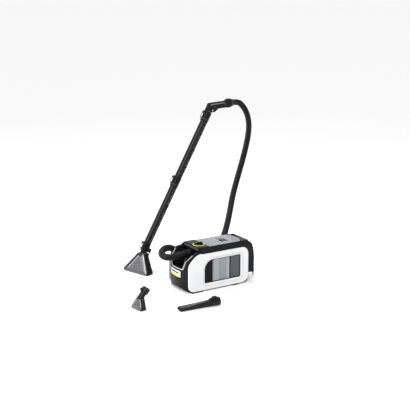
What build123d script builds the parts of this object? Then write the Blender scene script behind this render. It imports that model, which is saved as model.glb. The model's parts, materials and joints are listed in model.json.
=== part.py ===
from build123d import *
import math
import os

# Portable spot extractor: a tank machine, a two-piece wand on its floor nozzle,
# a suction hose between them and two hand tools lying in front.
#
# Design frame, millimetres: the origin is on the floor under the middle of the machine,
# X runs from the hose end (front) to the battery end (rear), Y to the far side, Z up.
# At the end everything is moved so that the row's origin is the bottom centre of all
# pieces but the hose.

os.makedirs("parts", exist_ok=True)
parts = {}

# ---------------------------------------------------------------- driving dimensions
HALF_WIDTH = 115.5          # outside of the side panels
PANEL_T = 10.0              # side panel thickness
PANEL_X = 199.0             # half length of the side panels
PANEL_TOP = 219.0
PANEL_LOW = 7.6
BASE_Z = 7.0                # underside of the machine, the height of the feet
INSIDE = HALF_WIDTH - PANEL_T - 0.4     # half width of what sits between the panels
SHOULDER_Z = 219.4          # where the black shoulders start
LID_HALF = 77.0             # half width of the lid and of the flat top
LID_REAR = 190.4            # rear end of the lid, just in front of the rear cover
TOP_Z = 245.0               # top of lid and frame
CONSOLE_TOP = 247.0
CONSOLE_FRONT = -112.0
CONSOLE_BACK = -45.0
BULKHEAD_X = -44.0          # front wall of the tank bay
REAR_WALL_X = 187.0         # rear wall of the tank bay
TANK_WALL = 2.5
TANK_HALF = 102.5
TANK_BOTTOM = 17.0
TANK_TOP = 212.0
WASTE_X = (-38.0, 79.0)     # length of the recovery tank
FRESH_X = (81.0, 184.0)     # length of the fresh-water tank
HOSE_D = 38.0
TUBE_R = 17.5               # wand tube outside radius
TUBE_BORE = 15.6
COLLAR_R = 22.5
RING_R = 34.5               # the ring round the power knob
KNOB_AT = (-78.0, -22.0)    # centre of the power knob and its ring
PORT_AT = (-160.0, -8.0, 200.0)         # mouth of the hose port
LID_PIN = (-35.5, 239.0)    # X, Z of the lid hinge
DOOR_PIN = (223.0, 236.0)   # X, Z of the battery door hinge
LATCH_PIN = (246.3, 97.0)   # X, Z of the door latch hinge

# Wand: everything lies in one upright plane through the nozzle's middle.
WAND_ORIGIN = (-257.2, 389.5, 0.0)
WAND_DIR = Vector(0.95416, 0.29930, 0.0).normalized()   # level direction of the wand's lean
MOUTH_DIR = Vector(WAND_DIR.Y, -WAND_DIR.X, 0.0)        # along the nozzle's mouth
LEAN = 37.7                 # degrees between tube and upright
NECK_LEAN = 30.0            # degrees between the nozzle's neck and upright
COLLAR_AT = (95.0, 173.0)   # where tube lengths are counted from, in the wand plane
SPIN = -53.0                # degrees that the latches are turned round the tube, from its upper side
TUBE_LOW = -17.0            # along the tube: its lower end
TUBE_MID = 412.0            # where lower and upper tube meet
TUBE_TOP = 918.0
LINE_X = -22.5              # the spray line's distance from the tube's axis, opposite the latches
LINE_R = 4.8
BOTTOM_COLLAR = (-44.0, 12.0)           # low and high end, along the nozzle's neck
MIDDLE_COLLAR = (376.0, 442.0)          # low and high end, along the tube
TOP_COLLAR = (843.0, 909.0)
LATCH_X = 25.0              # distance of a latch's hinge from the tube's axis
LATCH_DROP = 8.0            # distance of a latch's hinge below its collar's upper end
HANDLE_Z = 929.0            # height of the handle's rear end and the hose cuff
GRIP_LOW = 904.0
GRIP_HIGH = 947.0
HANDLE_END = 856.0          # rear end of the handle shells, in the wand plane
CUFF_END = 899.0            # end of the hose cuff
TRIGGER_PIN = (680.0, 900.0)


# ---------------------------------------------------------------- helpers
def rounded(points, radii):
    """A closed outline with rounded corners."""
    return make_face(FilletPolyline(*points, radius=radii, close=True))


def across(face, y_low, y_high):
    """Extrude an X-Z outline from y_low to y_high."""
    plane = Plane((0, y_high, 0), x_dir=(1, 0, 0), z_dir=(0, -1, 0))
    return extrude(plane * face, amount=y_high - y_low)


def lengthwise(face, x_low, x_high):
    """Extrude a Y-Z outline from x_low to x_high."""
    plane = Plane((x_low, 0, 0), x_dir=(0, 1, 0), z_dir=(1, 0, 0))
    return extrude(plane * face, amount=x_high - x_low)


def upward(face, z_low, z_high):
    """Extrude an X-Y outline from z_low to z_high."""
    return extrude(Pos(0, 0, z_low) * face, amount=z_high - z_low)


def block(x, y, z):
    """A box from three (low, high) pairs."""
    middle = [(pair[0] + pair[1]) / 2 for pair in (x, y, z)]
    return Pos(*middle) * Box(x[1] - x[0], y[1] - y[0], z[1] - z[0])


def rod(start, end, radius):
    """A round bar between two points."""
    span = Vector(*end) - Vector(*start)
    plane = Plane(origin=start, z_dir=span)
    return extrude(plane * Circle(radius), amount=span.length)


def pipe(start, end, radius, bore):
    """A round tube between two points; the bore runs past both ends."""
    span = (Vector(*end) - Vector(*start)).normalized()
    inner = rod(Vector(*start) - span, Vector(*end) + span, bore)
    return rod(start, end, radius) - inner


def cross_pin(x, z, half_length, radius):
    """A pin along Y."""
    return rod((x, -half_length, z), (x, half_length, z), radius)


def soften(solid, edges, radius):
    """Round the given edges."""
    return fillet(edges, radius) if edges else solid


def outer_rim(solid, axis, last):
    """The outer edges of the face that lies farthest along an axis."""
    faces = solid.faces().sort_by(axis)
    face = faces[-1] if last else faces[0]
    return face.outer_wire().edges()


def keep(name, solid):
    """Remember one finished piece under its node name."""
    parts[name] = solid


# ---------------------------------------------------------------- side panels, base, feet
def window_outline(grow):
    """The window of a side panel, grown outwards by the given amount."""
    left, right, low, high = -93 - grow, 148 + grow, 44 - grow, 177.5 + grow
    corners = [(left, low), (right, low), (right, high), (left, high)]
    return rounded(corners, [9 + grow, 9 + grow, 9 + grow, 57 + grow])


def side_panel():
    """The near white panel: rounded outline, window with a wide sloping edge."""
    corners = [(-PANEL_X, PANEL_LOW), (PANEL_X, PANEL_LOW), (PANEL_X, PANEL_TOP), (-143, PANEL_TOP),
               (-PANEL_X, 165)]
    outline = rounded(corners, [36, 45, 46, 70, 70])
    panel = across(outline, -HALF_WIDTH, -HALF_WIDTH + PANEL_T)
    panel = soften(panel, outer_rim(panel, Axis.Y, False), 4.5)
    panel -= across(window_outline(0), -HALF_WIDTH - 1, -HALF_WIDTH + PANEL_T + 1)
    front = Plane((0, -HALF_WIDTH - 0.01, 0), x_dir=(1, 0, 0), z_dir=(0, -1, 0))
    deep = front.offset(-7)
    return panel - loft([front * window_outline(13), deep * window_outline(0)], ruled=True)


def base_and_feet():
    pan = block((-150, 190.5), (-INSIDE, INSIDE), (BASE_Z, 12))
    pan -= block((-40, 170), (-80, 80), (9.5, 13))
    screws = []
    for x in (-135, 20, 182):
        for y in (-88, 88):
            pan -= Pos(x, y, BASE_Z) * Cylinder(4, 5)
            pan -= Pos(x, y, 10) * Cylinder(2, 12)
            screws.append(Pos(x, y, BASE_Z + 1.3) * Cylinder(3.5, 2) + Pos(x, y, 10) * Cylinder(1.7, 4))
    feet = []
    for low, high in ((-178, -104), (92, 136)):
        for side in (-1, 1):
            near, far = sorted((side * 84, side * 113.5))
            pad = block((low, high), (near, far), (0, BASE_Z))
            feet.append(soften(pad, pad.edges().filter_by(Axis.Z), 6))
    keep("base_pan", pan)
    keep("housing_screws", Part() + screws)
    keep("feet", Part() + feet)


# ---------------------------------------------------------------- front housing and hose bay
def front_envelope(grow):
    """Outside of the front housing, grown by the given amount."""
    half = INSIDE + min(grow, 0)
    side, middle = -188 - grow, -210 - grow
    rear = BULKHEAD_X - 2
    outline = [
        Line((rear, half), (rear, -half)),
        Line((rear, -half), (side, -half)),
        ThreePointArc((side, -half), (middle, 0), (side, half)),
        Line((side, half), (rear, half)),
    ]
    plan = make_face(outline)
    plan = fillet(plan.vertices().sort_by(Axis.X)[:2], 16)
    low, high = BASE_Z - grow, 223 + grow
    front = -215 - grow
    corners = [(-30, low), (front, low), (front, 158), (-150, high), (-30, high)]
    profile = rounded(corners, [1, 34, 60, 40, 1])
    return upward(plan, 0, 260) & across(profile, -150, 150)


def bay_outline(grow):
    """Front view of the hose bay's mouth: flat bottom, sides that lean out, open top."""
    foot, floor, top, shoulder = 54 + grow, 132 - grow, 88 + grow, 210
    corners = [(-foot, floor), (foot, floor), (top, shoulder), (top, 320), (-top, 320), (-top, shoulder)]
    return rounded(corners, [14, 14, 14, 1, 1, 14])


def front_end():
    bay_back = CONSOLE_FRONT + 0.3
    housing = front_envelope(0)
    hollow = front_envelope(-3.5) & block((-230, 0), (-120, 120), (0, 300))
    hollow -= lengthwise(bay_outline(-1.5), -230, bay_back + 3) & block((-230, 0), (-120, 120), (129, 300))
    hollow -= block((-230, bay_back + 3), (-50, 50), (115, 140))
    housing -= hollow
    housing -= lengthwise(bay_outline(0), -230, -190)
    housing -= lengthwise(bay_outline(-5), -191, bay_back)
    housing -= block((-190, bay_back), (-46, 46), (119, 160))
    housing -= block((bay_back, 0), (-INSIDE + 3, INSIDE - 3), (12, 300))
    housing -= block((CONSOLE_FRONT - 0.3, 0), (-120, 120), (SHOULDER_Z - 0.4, 300))
    housing -= block((-150.4, 0), (-120, 120), (0, 12.3))
    keep("front_housing", housing)

    band = lengthwise(bay_outline(5.5), -230, -118) - lengthwise(bay_outline(0.4), -231, -117)
    trim = (front_envelope(1.4) - front_envelope(0.0)) & band
    trim &= block((-230, -140), (-120, 120), (100, 212))
    keep("recess_trim", trim)

    plate = Plane((-260, 18, 97), x_dir=(0, 1, 0), z_dir=(1, 0, 0)) * RectangleRounded(112, 36, 6)
    badge = extrude(plate, amount=90) & (front_envelope(2.2) - front_envelope(0.0))
    keep("badge", badge)

    x, y, z = PORT_AT
    foot = Plane((x + 26, y, 119.2)) * Circle(36)
    neck = Plane((x + 26, y, 188)) * Circle(24)
    port = loft([foot, neck], ruled=True)
    port += Pos(x + 26, y, z) * Sphere(25)
    port += rod((x + 26, y, 186), (x + 26, y, z), 24.5)
    port += rod((x + 1, y, z), (x + 26, y, z), HOSE_D / 2 + 2)
    port += rod((x, y, z), (x + 9, y, z), HOSE_D / 2 + 4.5)
    port -= block((CONSOLE_FRONT - 0.3, 0), (-90, 90), (100, 260))
    keep("hose_port", port)


# ---------------------------------------------------------------- console
def shoulder_outline(top, grow=0.0):
    """Front view of the sloping shoulders and the flat top between them."""
    half = HALF_WIDTH + grow
    flat = LID_HALF + 2 + grow
    corners = [(-half, SHOULDER_Z), (half, SHOULDER_Z), (half, SHOULDER_Z + 2), (flat, top), (-flat, top),
               (-half, SHOULDER_Z + 2)]
    return rounded(corners, [0.4, 0.4, 1.2, 5, 5, 1.2])


def console():
    shell = lengthwise(shoulder_outline(CONSOLE_TOP), CONSOLE_FRONT, CONSOLE_BACK - 0.5)
    inner = rounded([(-95, 200), (95, 200), (95, 224), (73, 241), (-73, 241), (-95, 224)],
                    [1, 1, 3, 3, 3, 3])
    shell -= lengthwise(inner, CONSOLE_FRONT + 4, CONSOLE_BACK - 4)
    wall = lengthwise(bay_outline(-5.3), CONSOLE_FRONT + 0.4, CONSOLE_FRONT + 4)
    wall &= block((-120, -60), (-100, 100), (119.3, SHOULDER_Z + 3))
    wall += block((CONSOLE_FRONT + 0.4, CONSOLE_FRONT + 4), (-82.7, 82.7), (212, SHOULDER_Z + 3))
    shell += wall
    knob_x, knob_y = KNOB_AT
    shell -= Pos(knob_x, knob_y, 240) * Cylinder(3.3, 30)
    keep("console_housing", shell)

    strip = block((CONSOLE_FRONT - 1.6, CONSOLE_FRONT), (-75, 75), (227, 241))
    keep("console_trim", soften(strip, strip.edges().filter_by(Axis.X), 5))
    switch = Pos(knob_x, knob_y, 231) * Cylinder(17, 16) - Pos(knob_x, knob_y, 240) * Cylinder(3.2, 12)
    keep("rotary_switch", switch)
    band = Pos(knob_x, knob_y, CONSOLE_TOP + 1.5) * (Cylinder(RING_R, 3) - Cylinder(RING_R - 5.2, 4))
    keep("knob_ring", soften(band, band.edges().group_by(Axis.Z)[-1], 1.2))
    dial = Pos(knob_x, knob_y, CONSOLE_TOP + 4.3) * Cylinder(RING_R - 8, 7.4)
    dial = soften(dial, dial.edges().group_by(Axis.Z)[-1], 2.5)
    grip = Pos(knob_x, knob_y, CONSOLE_TOP + 10) * Box(43, 12, 10)
    grip = soften(grip, grip.edges().filter_by(Axis.Z), 5)
    grip = soften(grip, grip.edges().group_by(Axis.Z)[-1], 2.5)
    shaft = Pos(knob_x, knob_y, CONSOLE_TOP - 3) * Cylinder(3, 12)
    keep("power_knob", dial + grip + shaft)


# ---------------------------------------------------------------- inside the machine
def insides():
    bay = block((BULKHEAD_X, REAR_WALL_X + 3.6), (-TANK_HALF, TANK_HALF), (12.3, 16))
    bay += block((BULKHEAD_X, BULKHEAD_X + 4), (-INSIDE, INSIDE), (12.3, TANK_TOP))
    bay += block((REAR_WALL_X, REAR_WALL_X + 3.6), (-INSIDE, INSIDE), (12.3, TANK_TOP))
    keep("chassis", bay)

    mount = Pos(-122, 30, 15) * (Cylinder(40, 6) - Cylinder(28, 8))
    keep("motor_mount", mount)
    motor = Pos(-122, 30, 42) * Cylinder(38, 48)
    motor += Pos(-122, 30, 76) * Cylinder(43, 20)
    motor += Pos(-122, 30, 92) * Cylinder(20, 12)
    motor += block((-135, -118), (64, 78), (28, 44))
    keep("suction_motor", motor)

    pump = block((-146, -98), (-76, -40), (12.1, 42))
    pump += rod((-122, -58, 42), (-122, -58, 62), 14)
    pump += rod((-98, -58, 26), (-84, -58, 26), 4)
    keep("water_pump", pump)
    face = BULKHEAD_X - 5.6
    board = block((face, face + 1.6), (-92, -20), (52, 108))
    board += block((face - 8.4, face), (-80, -56), (62, 84))
    board += block((face - 5.4, face), (-46, -30), (66, 98))
    board += block((face + 1.6, BULKHEAD_X), (-88, -84), (56, 60))
    keep("control_board", board)


# ---------------------------------------------------------------- rear: cover, battery, door, latch
def rear_end():
    lug_span = (61, 70)
    profile = make_face([
        Polyline((191.2, 12), (196, 12), (196, 58), (232, 58)),
        ThreePointArc((232, 58), (237.6, 160), (221, 241)),
        Polyline((221, 241), (221, 244), (191.2, 244), (191.2, 12)),
    ])
    section = rounded([(-INSIDE, 5), (INSIDE, 5), (INSIDE, 226), (78, 243.5), (-78, 243.5), (-INSIDE, 226)],
                      [3, 3, 6, 8, 8, 6])
    cover = across(profile, -INSIDE, INSIDE) & lengthwise(section, 180, 260)
    cover -= block((196, 250), (-96, 96), (62, 229))
    cover -= cross_pin(*DOOR_PIN, 120, 7.4)
    corners = [(-INSIDE, 5), (INSIDE, 5), (INSIDE, 222), (90, 234), (-90, 234), (-INSIDE, 222)]
    door_section = rounded(corners, [3, 3, 6, 6, 6, 6])
    door_profile = make_face([
        ThreePointArc((227, 234), (243, 165), (239, 76)),
        Line((239, 76), (234, 76)),
        ThreePointArc((234, 76), (238.2, 162), (223, 232)),
        Line((223, 232), (227, 234)),
    ])
    door = across(door_profile, -INSIDE, INSIDE) & lengthwise(door_section, 180, 260)
    cover -= across(offset(door_profile, 0.6), -120, 120)
    barrel = cross_pin(*DOOR_PIN, 60, 4.2)
    door += barrel
    door -= cross_pin(*DOOR_PIN, 130, 1.6)
    cheeks = []
    for side in (-1, 1):
        low, high = sorted((side * lug_span[0], side * lug_span[1]))
        ear = block((213, 224), (low, high), (228, 239))
        ear += rod((DOOR_PIN[0], low, DOOR_PIN[1]), (DOOR_PIN[0], high, DOOR_PIN[1]), 3.6)
        cheeks.append(ear)
        door -= block((200, 236), (low - 0.8, high + 0.8), (222, 245))
    cover += cheeks
    cover -= cross_pin(*DOOR_PIN, 72, 1.5)
    keep("door_hinge_pin", cross_pin(*DOOR_PIN, 70, 1.5))

    ears = [block((238.6, 248.5), sorted((side * 97.4, side * 101)), (91, 101)) for side in (-1, 1)]
    door += ears
    door -= cross_pin(*LATCH_PIN, 100, 1.6)
    keep("battery_door", door)
    keep("rear_cover", cover)

    bar = rounded([(241.4, 64), (247.9, 64), (249.6, 72), (249.6, 100), (244, 100)], [1, 2, 4, 2.4, 2.4])
    latch = across(bar, -96.8, 96.8)
    latch -= across(rounded([(244, 74), (252, 70), (252, 88), (246.5, 88)], [1, 1, 1, 1]), -90, 90)
    latch += cross_pin(*LATCH_PIN, 99.6, 1.5)
    latch += block((242, 245), (-95, -86), (48, 66))
    keep("door_latch", latch)

    pack = block((198, 226), (-62, 62), (72, 196))
    pack = soften(pack, pack.edges().filter_by(Axis.X), 8)
    pack += block((196, 199), (-30, 30), (100, 160))
    keep("battery_pack", pack)


# ---------------------------------------------------------------- tank unit
def tank_shell(x_span):
    outside = block(x_span, (-TANK_HALF, TANK_HALF), (TANK_BOTTOM, TANK_TOP))
    outside = soften(outside, outside.edges().filter_by(Axis.Z), 7)
    low, high = x_span[0] + TANK_WALL, x_span[1] - TANK_WALL
    half = TANK_HALF - TANK_WALL
    inside = block((low, high), (-half, half), (TANK_BOTTOM + 3, TANK_TOP + 1))
    return outside - soften(inside, inside.edges().filter_by(Axis.Z), 5)


def lid_outline(grow):
    """Plan of the lid: straight at the hinge, bulging at the rear."""
    radius = 130
    half = LID_HALF + grow
    front = -42 - grow
    plate = Pos((front + 200) / 2, 0) * Rectangle(200 - front, 2 * half)
    middle = LID_REAR - radius + grow
    bulge = Pos(middle, 0) * Circle(radius) + Pos(middle - 100, 0) * Rectangle(200, 2 * radius)
    plan = plate & bulge
    return fillet(plan.vertices().sort_by(Axis.X)[-2:], 24 + grow)


def tank_unit():
    waste = tank_shell(WASTE_X)
    keep("waste_tank", waste)
    fresh = tank_shell(FRESH_X)
    fresh -= Pos(132, -70, TANK_BOTTOM) * Cylinder(7.2, 10)
    keep("fresh_tank", fresh)
    valve = Pos(132, -70, 19.5) * Cylinder(7, 4.6) + Pos(132, -70, 26) * Cylinder(11, 10)
    valve += Pos(132, -70, 36) * Cylinder(4, 14)
    keep("outlet_valve", valve)

    pin_x, pin_z = LID_PIN
    frame = lengthwise(shoulder_outline(TOP_Z - 0.5), CONSOLE_BACK + 0.4, 190.6)
    frame += block((CONSOLE_BACK + 0.4, 186), (-INSIDE + 1.6, INSIDE - 1.6), (TANK_TOP, SHOULDER_Z + 0.5))
    frame -= upward(lid_outline(0.8), 238.4, 260)
    well = block((-30, 170), (-69, 69), (200, 260))
    frame -= soften(well, well.edges().filter_by(Axis.Z), 20)
    frame -= block((CONSOLE_BACK, -26), (-LID_HALF - 1, LID_HALF + 1), (229.8, 260))
    frame -= block((186.4, 200), (-120, 120), (200, SHOULDER_Z))
    for side in (-1, 1):
        low, high = sorted((side * 38.5, side * 46))
        frame += rod((pin_x, low, pin_z), (pin_x, high, pin_z), 3.6)
        frame += block((pin_x - 3.5, pin_x + 3.5), (low, high), (229, pin_z))
    frame -= cross_pin(pin_x, pin_z, 50, 1.5) & block((-60, -20), (-46.5, 46.5), (200, 260))
    keep("tank_frame", frame)
    keep("lid_hinge_pin", cross_pin(pin_x, pin_z, 46, 1.5))

    lid = upward(lid_outline(0), 239.6, TOP_Z)
    lid = soften(lid, lid.edges().group_by(Axis.Z)[-1].sort_by(Axis.X)[1:], 1.8)
    for side in (-1, 1):
        low, high = sorted((side * 37.7, side * 46.8))
        lid -= block((-46, pin_x + 5.5), (low, high), (230, 243.4))
    lid += block((pin_x - 3, pin_x + 8.4), (-37.2, 37.2), (236.5, 241))
    lid += cross_pin(pin_x, pin_z, 37.2, 3.4)
    rim = block((-24, 166), (-65.5, 65.5), (232, 240))
    rim = soften(rim, rim.edges().filter_by(Axis.Z), 18)
    hollow = block((-21, 163), (-62.5, 62.5), (231, 239.6))
    lid += rim - soften(hollow, hollow.edges().filter_by(Axis.Z), 15)
    lid -= cross_pin(pin_x, pin_z, 60, 1.58)
    pocket = block((62, 128), (-41, 41), (225, 260))
    lid -= soften(pocket, pocket.edges().filter_by(Axis.Z), 8)
    keep("tank_lid", lid)

    tray = block((62.2, 127.8), (-40.8, 40.8), (229, 244))
    tray = soften(tray, tray.edges().filter_by(Axis.Z), 7.8)
    dish = Plane((95, 0, 244.5)) * RectangleRounded(62, 78, 7)
    bottom = Plane((95, 0, 231)) * RectangleRounded(50, 66, 5)
    tray -= loft([dish, bottom], ruled=True)
    slot = block((92, 116), (-30, 2), (220, 250))
    tray -= soften(slot, slot.edges().filter_by(Axis.Z), 5)
    keep("lid_grip", tray)

    seal = block((-26.5, 168.5), (-67.8, 67.8), (234, 238))
    seal = soften(seal, seal.edges().filter_by(Axis.Z), 19)
    gap = block((-24, 166), (-65.5, 65.5), (230, 240))
    keep("tank_seal", seal - soften(gap, gap.edges().filter_by(Axis.Z), 18))

    wall_x = WASTE_X[0] + TANK_WALL
    stand_x = wall_x + 19
    intake = pipe((stand_x, 0, 70), (stand_x, 0, 196), 16, 14)
    intake += block((wall_x, wall_x + 6), (-10, 10), (150, 190))
    intake += pipe((wall_x, 0, 186), (stand_x - 9, 0, 186), 14, 10)
    intake -= rod((wall_x - 1, 0, 186), (stand_x, 0, 186), 10)
    keep("inlet_pipe", intake)

    cage = Pos(44, 0, 178) * (Cylinder(24, 56) - Cylinder(20.5, 60))
    cage -= Pos(44, 0, 176) * (Box(60, 22, 36) + Box(22, 60, 36))
    cage += Pos(44, 0, 151.5) * Cylinder(24, 3)
    cage += block((64, 76.5), (-12, 12), (196, 205))
    cage -= Pos(44, 0, 178) * Cylinder(20.5, 50)
    keep("float_cage", cage)
    keep("float_ball", Pos(44, 0, 171.2) * Sphere(18))


# ---------------------------------------------------------------- wand
WAND = Plane(origin=WAND_ORIGIN, x_dir=WAND_DIR, z_dir=MOUTH_DIR)


def leaning(angle, origin):
    """A frame whose Z leans from upright by an angle and whose X is turned from the upper side by SPIN."""
    along = WAND_DIR * math.sin(math.radians(angle)) + Vector(0, 0, 1) * math.cos(math.radians(angle))
    upper = Vector(0, 0, 1) * math.sin(math.radians(angle)) - WAND_DIR * math.cos(math.radians(angle))
    turn = math.radians(SPIN)
    first = upper * math.cos(turn) + along.cross(upper) * math.sin(turn)
    return Plane(origin=origin, x_dir=first, z_dir=along)


TUBE = leaning(LEAN, WAND.from_local_coords(Vector(*COLLAR_AT, 0)))
NECK = leaning(NECK_LEAN, TUBE.origin + TUBE.z_dir * -20)


def in_wand(solid):
    """Place a piece drawn in the wand plane: X along the lean, Y up, Z along the mouth."""
    return WAND.location * solid


def as_wand(solid):
    """The same piece, given from the wand plane."""
    return WAND.to_local_coords(solid)


def ring(low, high, radius, bore):
    """A ring about the local Z axis."""
    return Pos(0, 0, (low + high) / 2) * (Cylinder(radius, high - low) - Cylinder(bore, high - low + 2))


def upright(low, high, radius, x=0.0):
    """A round bar along the local Z axis, at a distance x from it."""
    return Pos(x, 0, (low + high) / 2) * Cylinder(radius, high - low)


def collar(low, high):
    """A tube collar with a notch under its latch, two latch ears and a socket for the spray line."""
    body = upright(low, high, COLLAR_R)
    body = soften(body, body.edges().filter_by(GeomType.CIRCLE), 2.2)
    body -= block((TUBE_R + 1.4, 40), (-9.5, 9.5), (low + 19, high - LATCH_DROP - 5))
    pin_z = high - LATCH_DROP
    for side in (-1, 1):
        near, far = sorted((side * 6.6, side * 10))
        ear = block((18, LATCH_X + 4.4), (near, far), (pin_z - 5, pin_z + 5))
        body += soften(ear, ear.edges().filter_by(Axis.Y), 2)
    body -= rod((LATCH_X, -12, pin_z), (LATCH_X, 12, pin_z), 1.35)
    socket = block((LINE_X - 6, -18), (-7, 7), (low + 2, high - 2))
    socket = soften(socket, socket.edges().filter_by(Axis.Z).sort_by(Axis.X)[:2], 3.5)
    body += socket
    body -= upright(low - 1, low + 7, LINE_R + 0.05, LINE_X)
    return body - upright(high - 7, high + 1, LINE_R + 0.05, LINE_X)


def latch(high, drop):
    """A sprung latch bow on a collar: it pivots near the collar's upper end and grips its lower end."""
    pin_z = high - LATCH_DROP
    low = high - drop
    plane = Plane(origin=(0, 6.2, 0), x_dir=(1, 0, 0), z_dir=(0, -1, 0))
    bow = rounded([(23.2, low), (29.8, low + 4), (29.8, pin_z - 2), (27, pin_z + 2.6), (23.2, pin_z + 2.6)],
                  [0.8, 4, 4, 2, 1.6])
    gap = rounded([(20, low + 4), (27.4, low + 8), (27.4, pin_z - 7), (20, pin_z - 3.4)], [1, 3, 3, 1])
    body = extrude(plane * bow, amount=12.4)
    body -= extrude(plane * gap, amount=12.4)
    return body + rod((LATCH_X, -9.6, pin_z), (LATCH_X, 9.6, pin_z), 1.25)


def funnel(mouth, neck, wall):
    """A hollow suction mouth; mouth and neck are (centre along, height, depth, width)."""
    def section(spec, inset, drop=0.0):
        along, height, depth, width = spec
        plane = Plane((along, height - drop, 0), x_dir=(1, 0, 0), z_dir=(0, 1, 0))
        return plane * Rectangle(depth - 2 * inset, width - 2 * inset)
    lip = (mouth[0] + 3, 16, mouth[2] - 6, mouth[3])
    outside = loft([section(mouth, 0), section(lip, 0)], ruled=True)
    outside += loft([section(lip, 0), section(neck, 0)], ruled=True)
    inside = loft([section(mouth, wall, 1), section(lip, wall)], ruled=True)
    inside += loft([section(lip, wall), section(neck, wall)], ruled=True)
    return outside, inside


def front_pane(mouth, neck, border, thick, low, high):
    """The clear front of a funnel: a layer of its front wall, narrower than the funnel by a border."""
    outside = funnel(mouth, neck, 1)[0]
    inner_mouth = (mouth[0], 0, 3 * mouth[2], mouth[3] - 2 * border)
    inner_neck = (neck[0], neck[1], 3 * neck[2], neck[3] - 2 * border)
    frame = funnel(inner_mouth, inner_neck, 1)[0]
    layer = outside - Pos(thick, 0, 0) * outside
    return layer & frame & block((-200, 200), (low, high), (-200, 200))


def floor_nozzle():
    mouth = (9.5, 0, 49, 196)
    neck = (55, 112, 32, 46)
    outside, inside = funnel(mouth, neck, 2.6)
    pipe_low, pipe_high = -74, 3
    neck_pipe = as_wand(NECK.location * upright(pipe_low, pipe_high, TUBE_R - 0.4))
    bore = as_wand(NECK.location * upright(pipe_low - 6, pipe_high + 1, TUBE_R - 3))
    tube_space = as_wand(TUBE.location * upright(TUBE_LOW - 0.3, TUBE_LOW + 60, TUBE_R + 0.02))
    body = outside + neck_pipe - inside - bore - tube_space
    pane = front_pane(mouth, neck, 5, 3.2, 1.5, 106) - neck_pipe - bore
    body -= pane
    keep("nozzle_body", in_wand(body))
    keep("nozzle_window", in_wand(pane))
    strip = block((-18.4, -15.1), (0, 11), (-94, 94))
    keep("nozzle_lip", in_wand(soften(strip, strip.edges().filter_by(Axis.Y), 1.4)))

    fitted = collar(*BOTTOM_COLLAR) - upright(BOTTOM_COLLAR[0] - 1, BOTTOM_COLLAR[1] + 1, TUBE_R - 0.36)
    fitted = as_wand(NECK.location * fitted) - tube_space - outside
    line_space = as_wand(TUBE.location * upright(-12, 60, LINE_R + 0.05, LINE_X))
    keep("bottom_collar", in_wand(fitted - line_space))
    keep("bottom_latch", NECK.location * latch(BOTTOM_COLLAR[1], 46))

    knob = rod((-42, 0, -30), (-28.5, 0, -30), 12.5)
    knob = soften(knob, knob.edges().filter_by(GeomType.CIRCLE), 2)
    knob += rod((-30, 0, -30), (LINE_X - 6, 0, -30), 6)
    knob += rod((-36, 0, -38), (-34, 0, -70), 3.4)
    keep("spray_coupling", NECK.location * knob)
    jet = rod((-34, 0, -70.1), (-33, 0, -84), 6)
    jet += rod((-33, 0, -84), (-32.6, 0, -90), 3.6)
    keep("spray_tip", in_wand(as_wand(NECK.location * jet) - outside))


def wand_tubes():
    join = TUBE_MID + 0.2
    keep("lower_tube", TUBE.location * ring(TUBE_LOW, TUBE_MID, TUBE_R, TUBE_BORE))
    keep("upper_tube", TUBE.location * ring(join, TUBE_TOP, TUBE_R, TUBE_BORE))
    for name, low, high in (("lower_spray_line", -10, MIDDLE_COLLAR[0] + 6.5),
                            ("upper_spray_line", MIDDLE_COLLAR[1] - 6.5, TOP_COLLAR[0] + 6.5)):
        keep(name, TUBE.location * upright(low, high, LINE_R, LINE_X))
    for name, (low, high) in (("middle", MIDDLE_COLLAR), ("top", TOP_COLLAR)):
        fitted = collar(low, high) - upright(low - 1, high + 1, TUBE_R + 0.02)
        keep(name + "_collar", TUBE.location * fitted)
        keep(name + "_latch", TUBE.location * latch(high, 52))


def beside_axis(along, aside):
    """A point of the wand plane beside the tube's axis; positive is the upper side."""
    lean = math.radians(LEAN)
    return (COLLAR_AT[0] + along * math.sin(lean) - aside * math.cos(lean),
            COLLAR_AT[1] + along * math.cos(lean) + aside * math.sin(lean))


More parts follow.
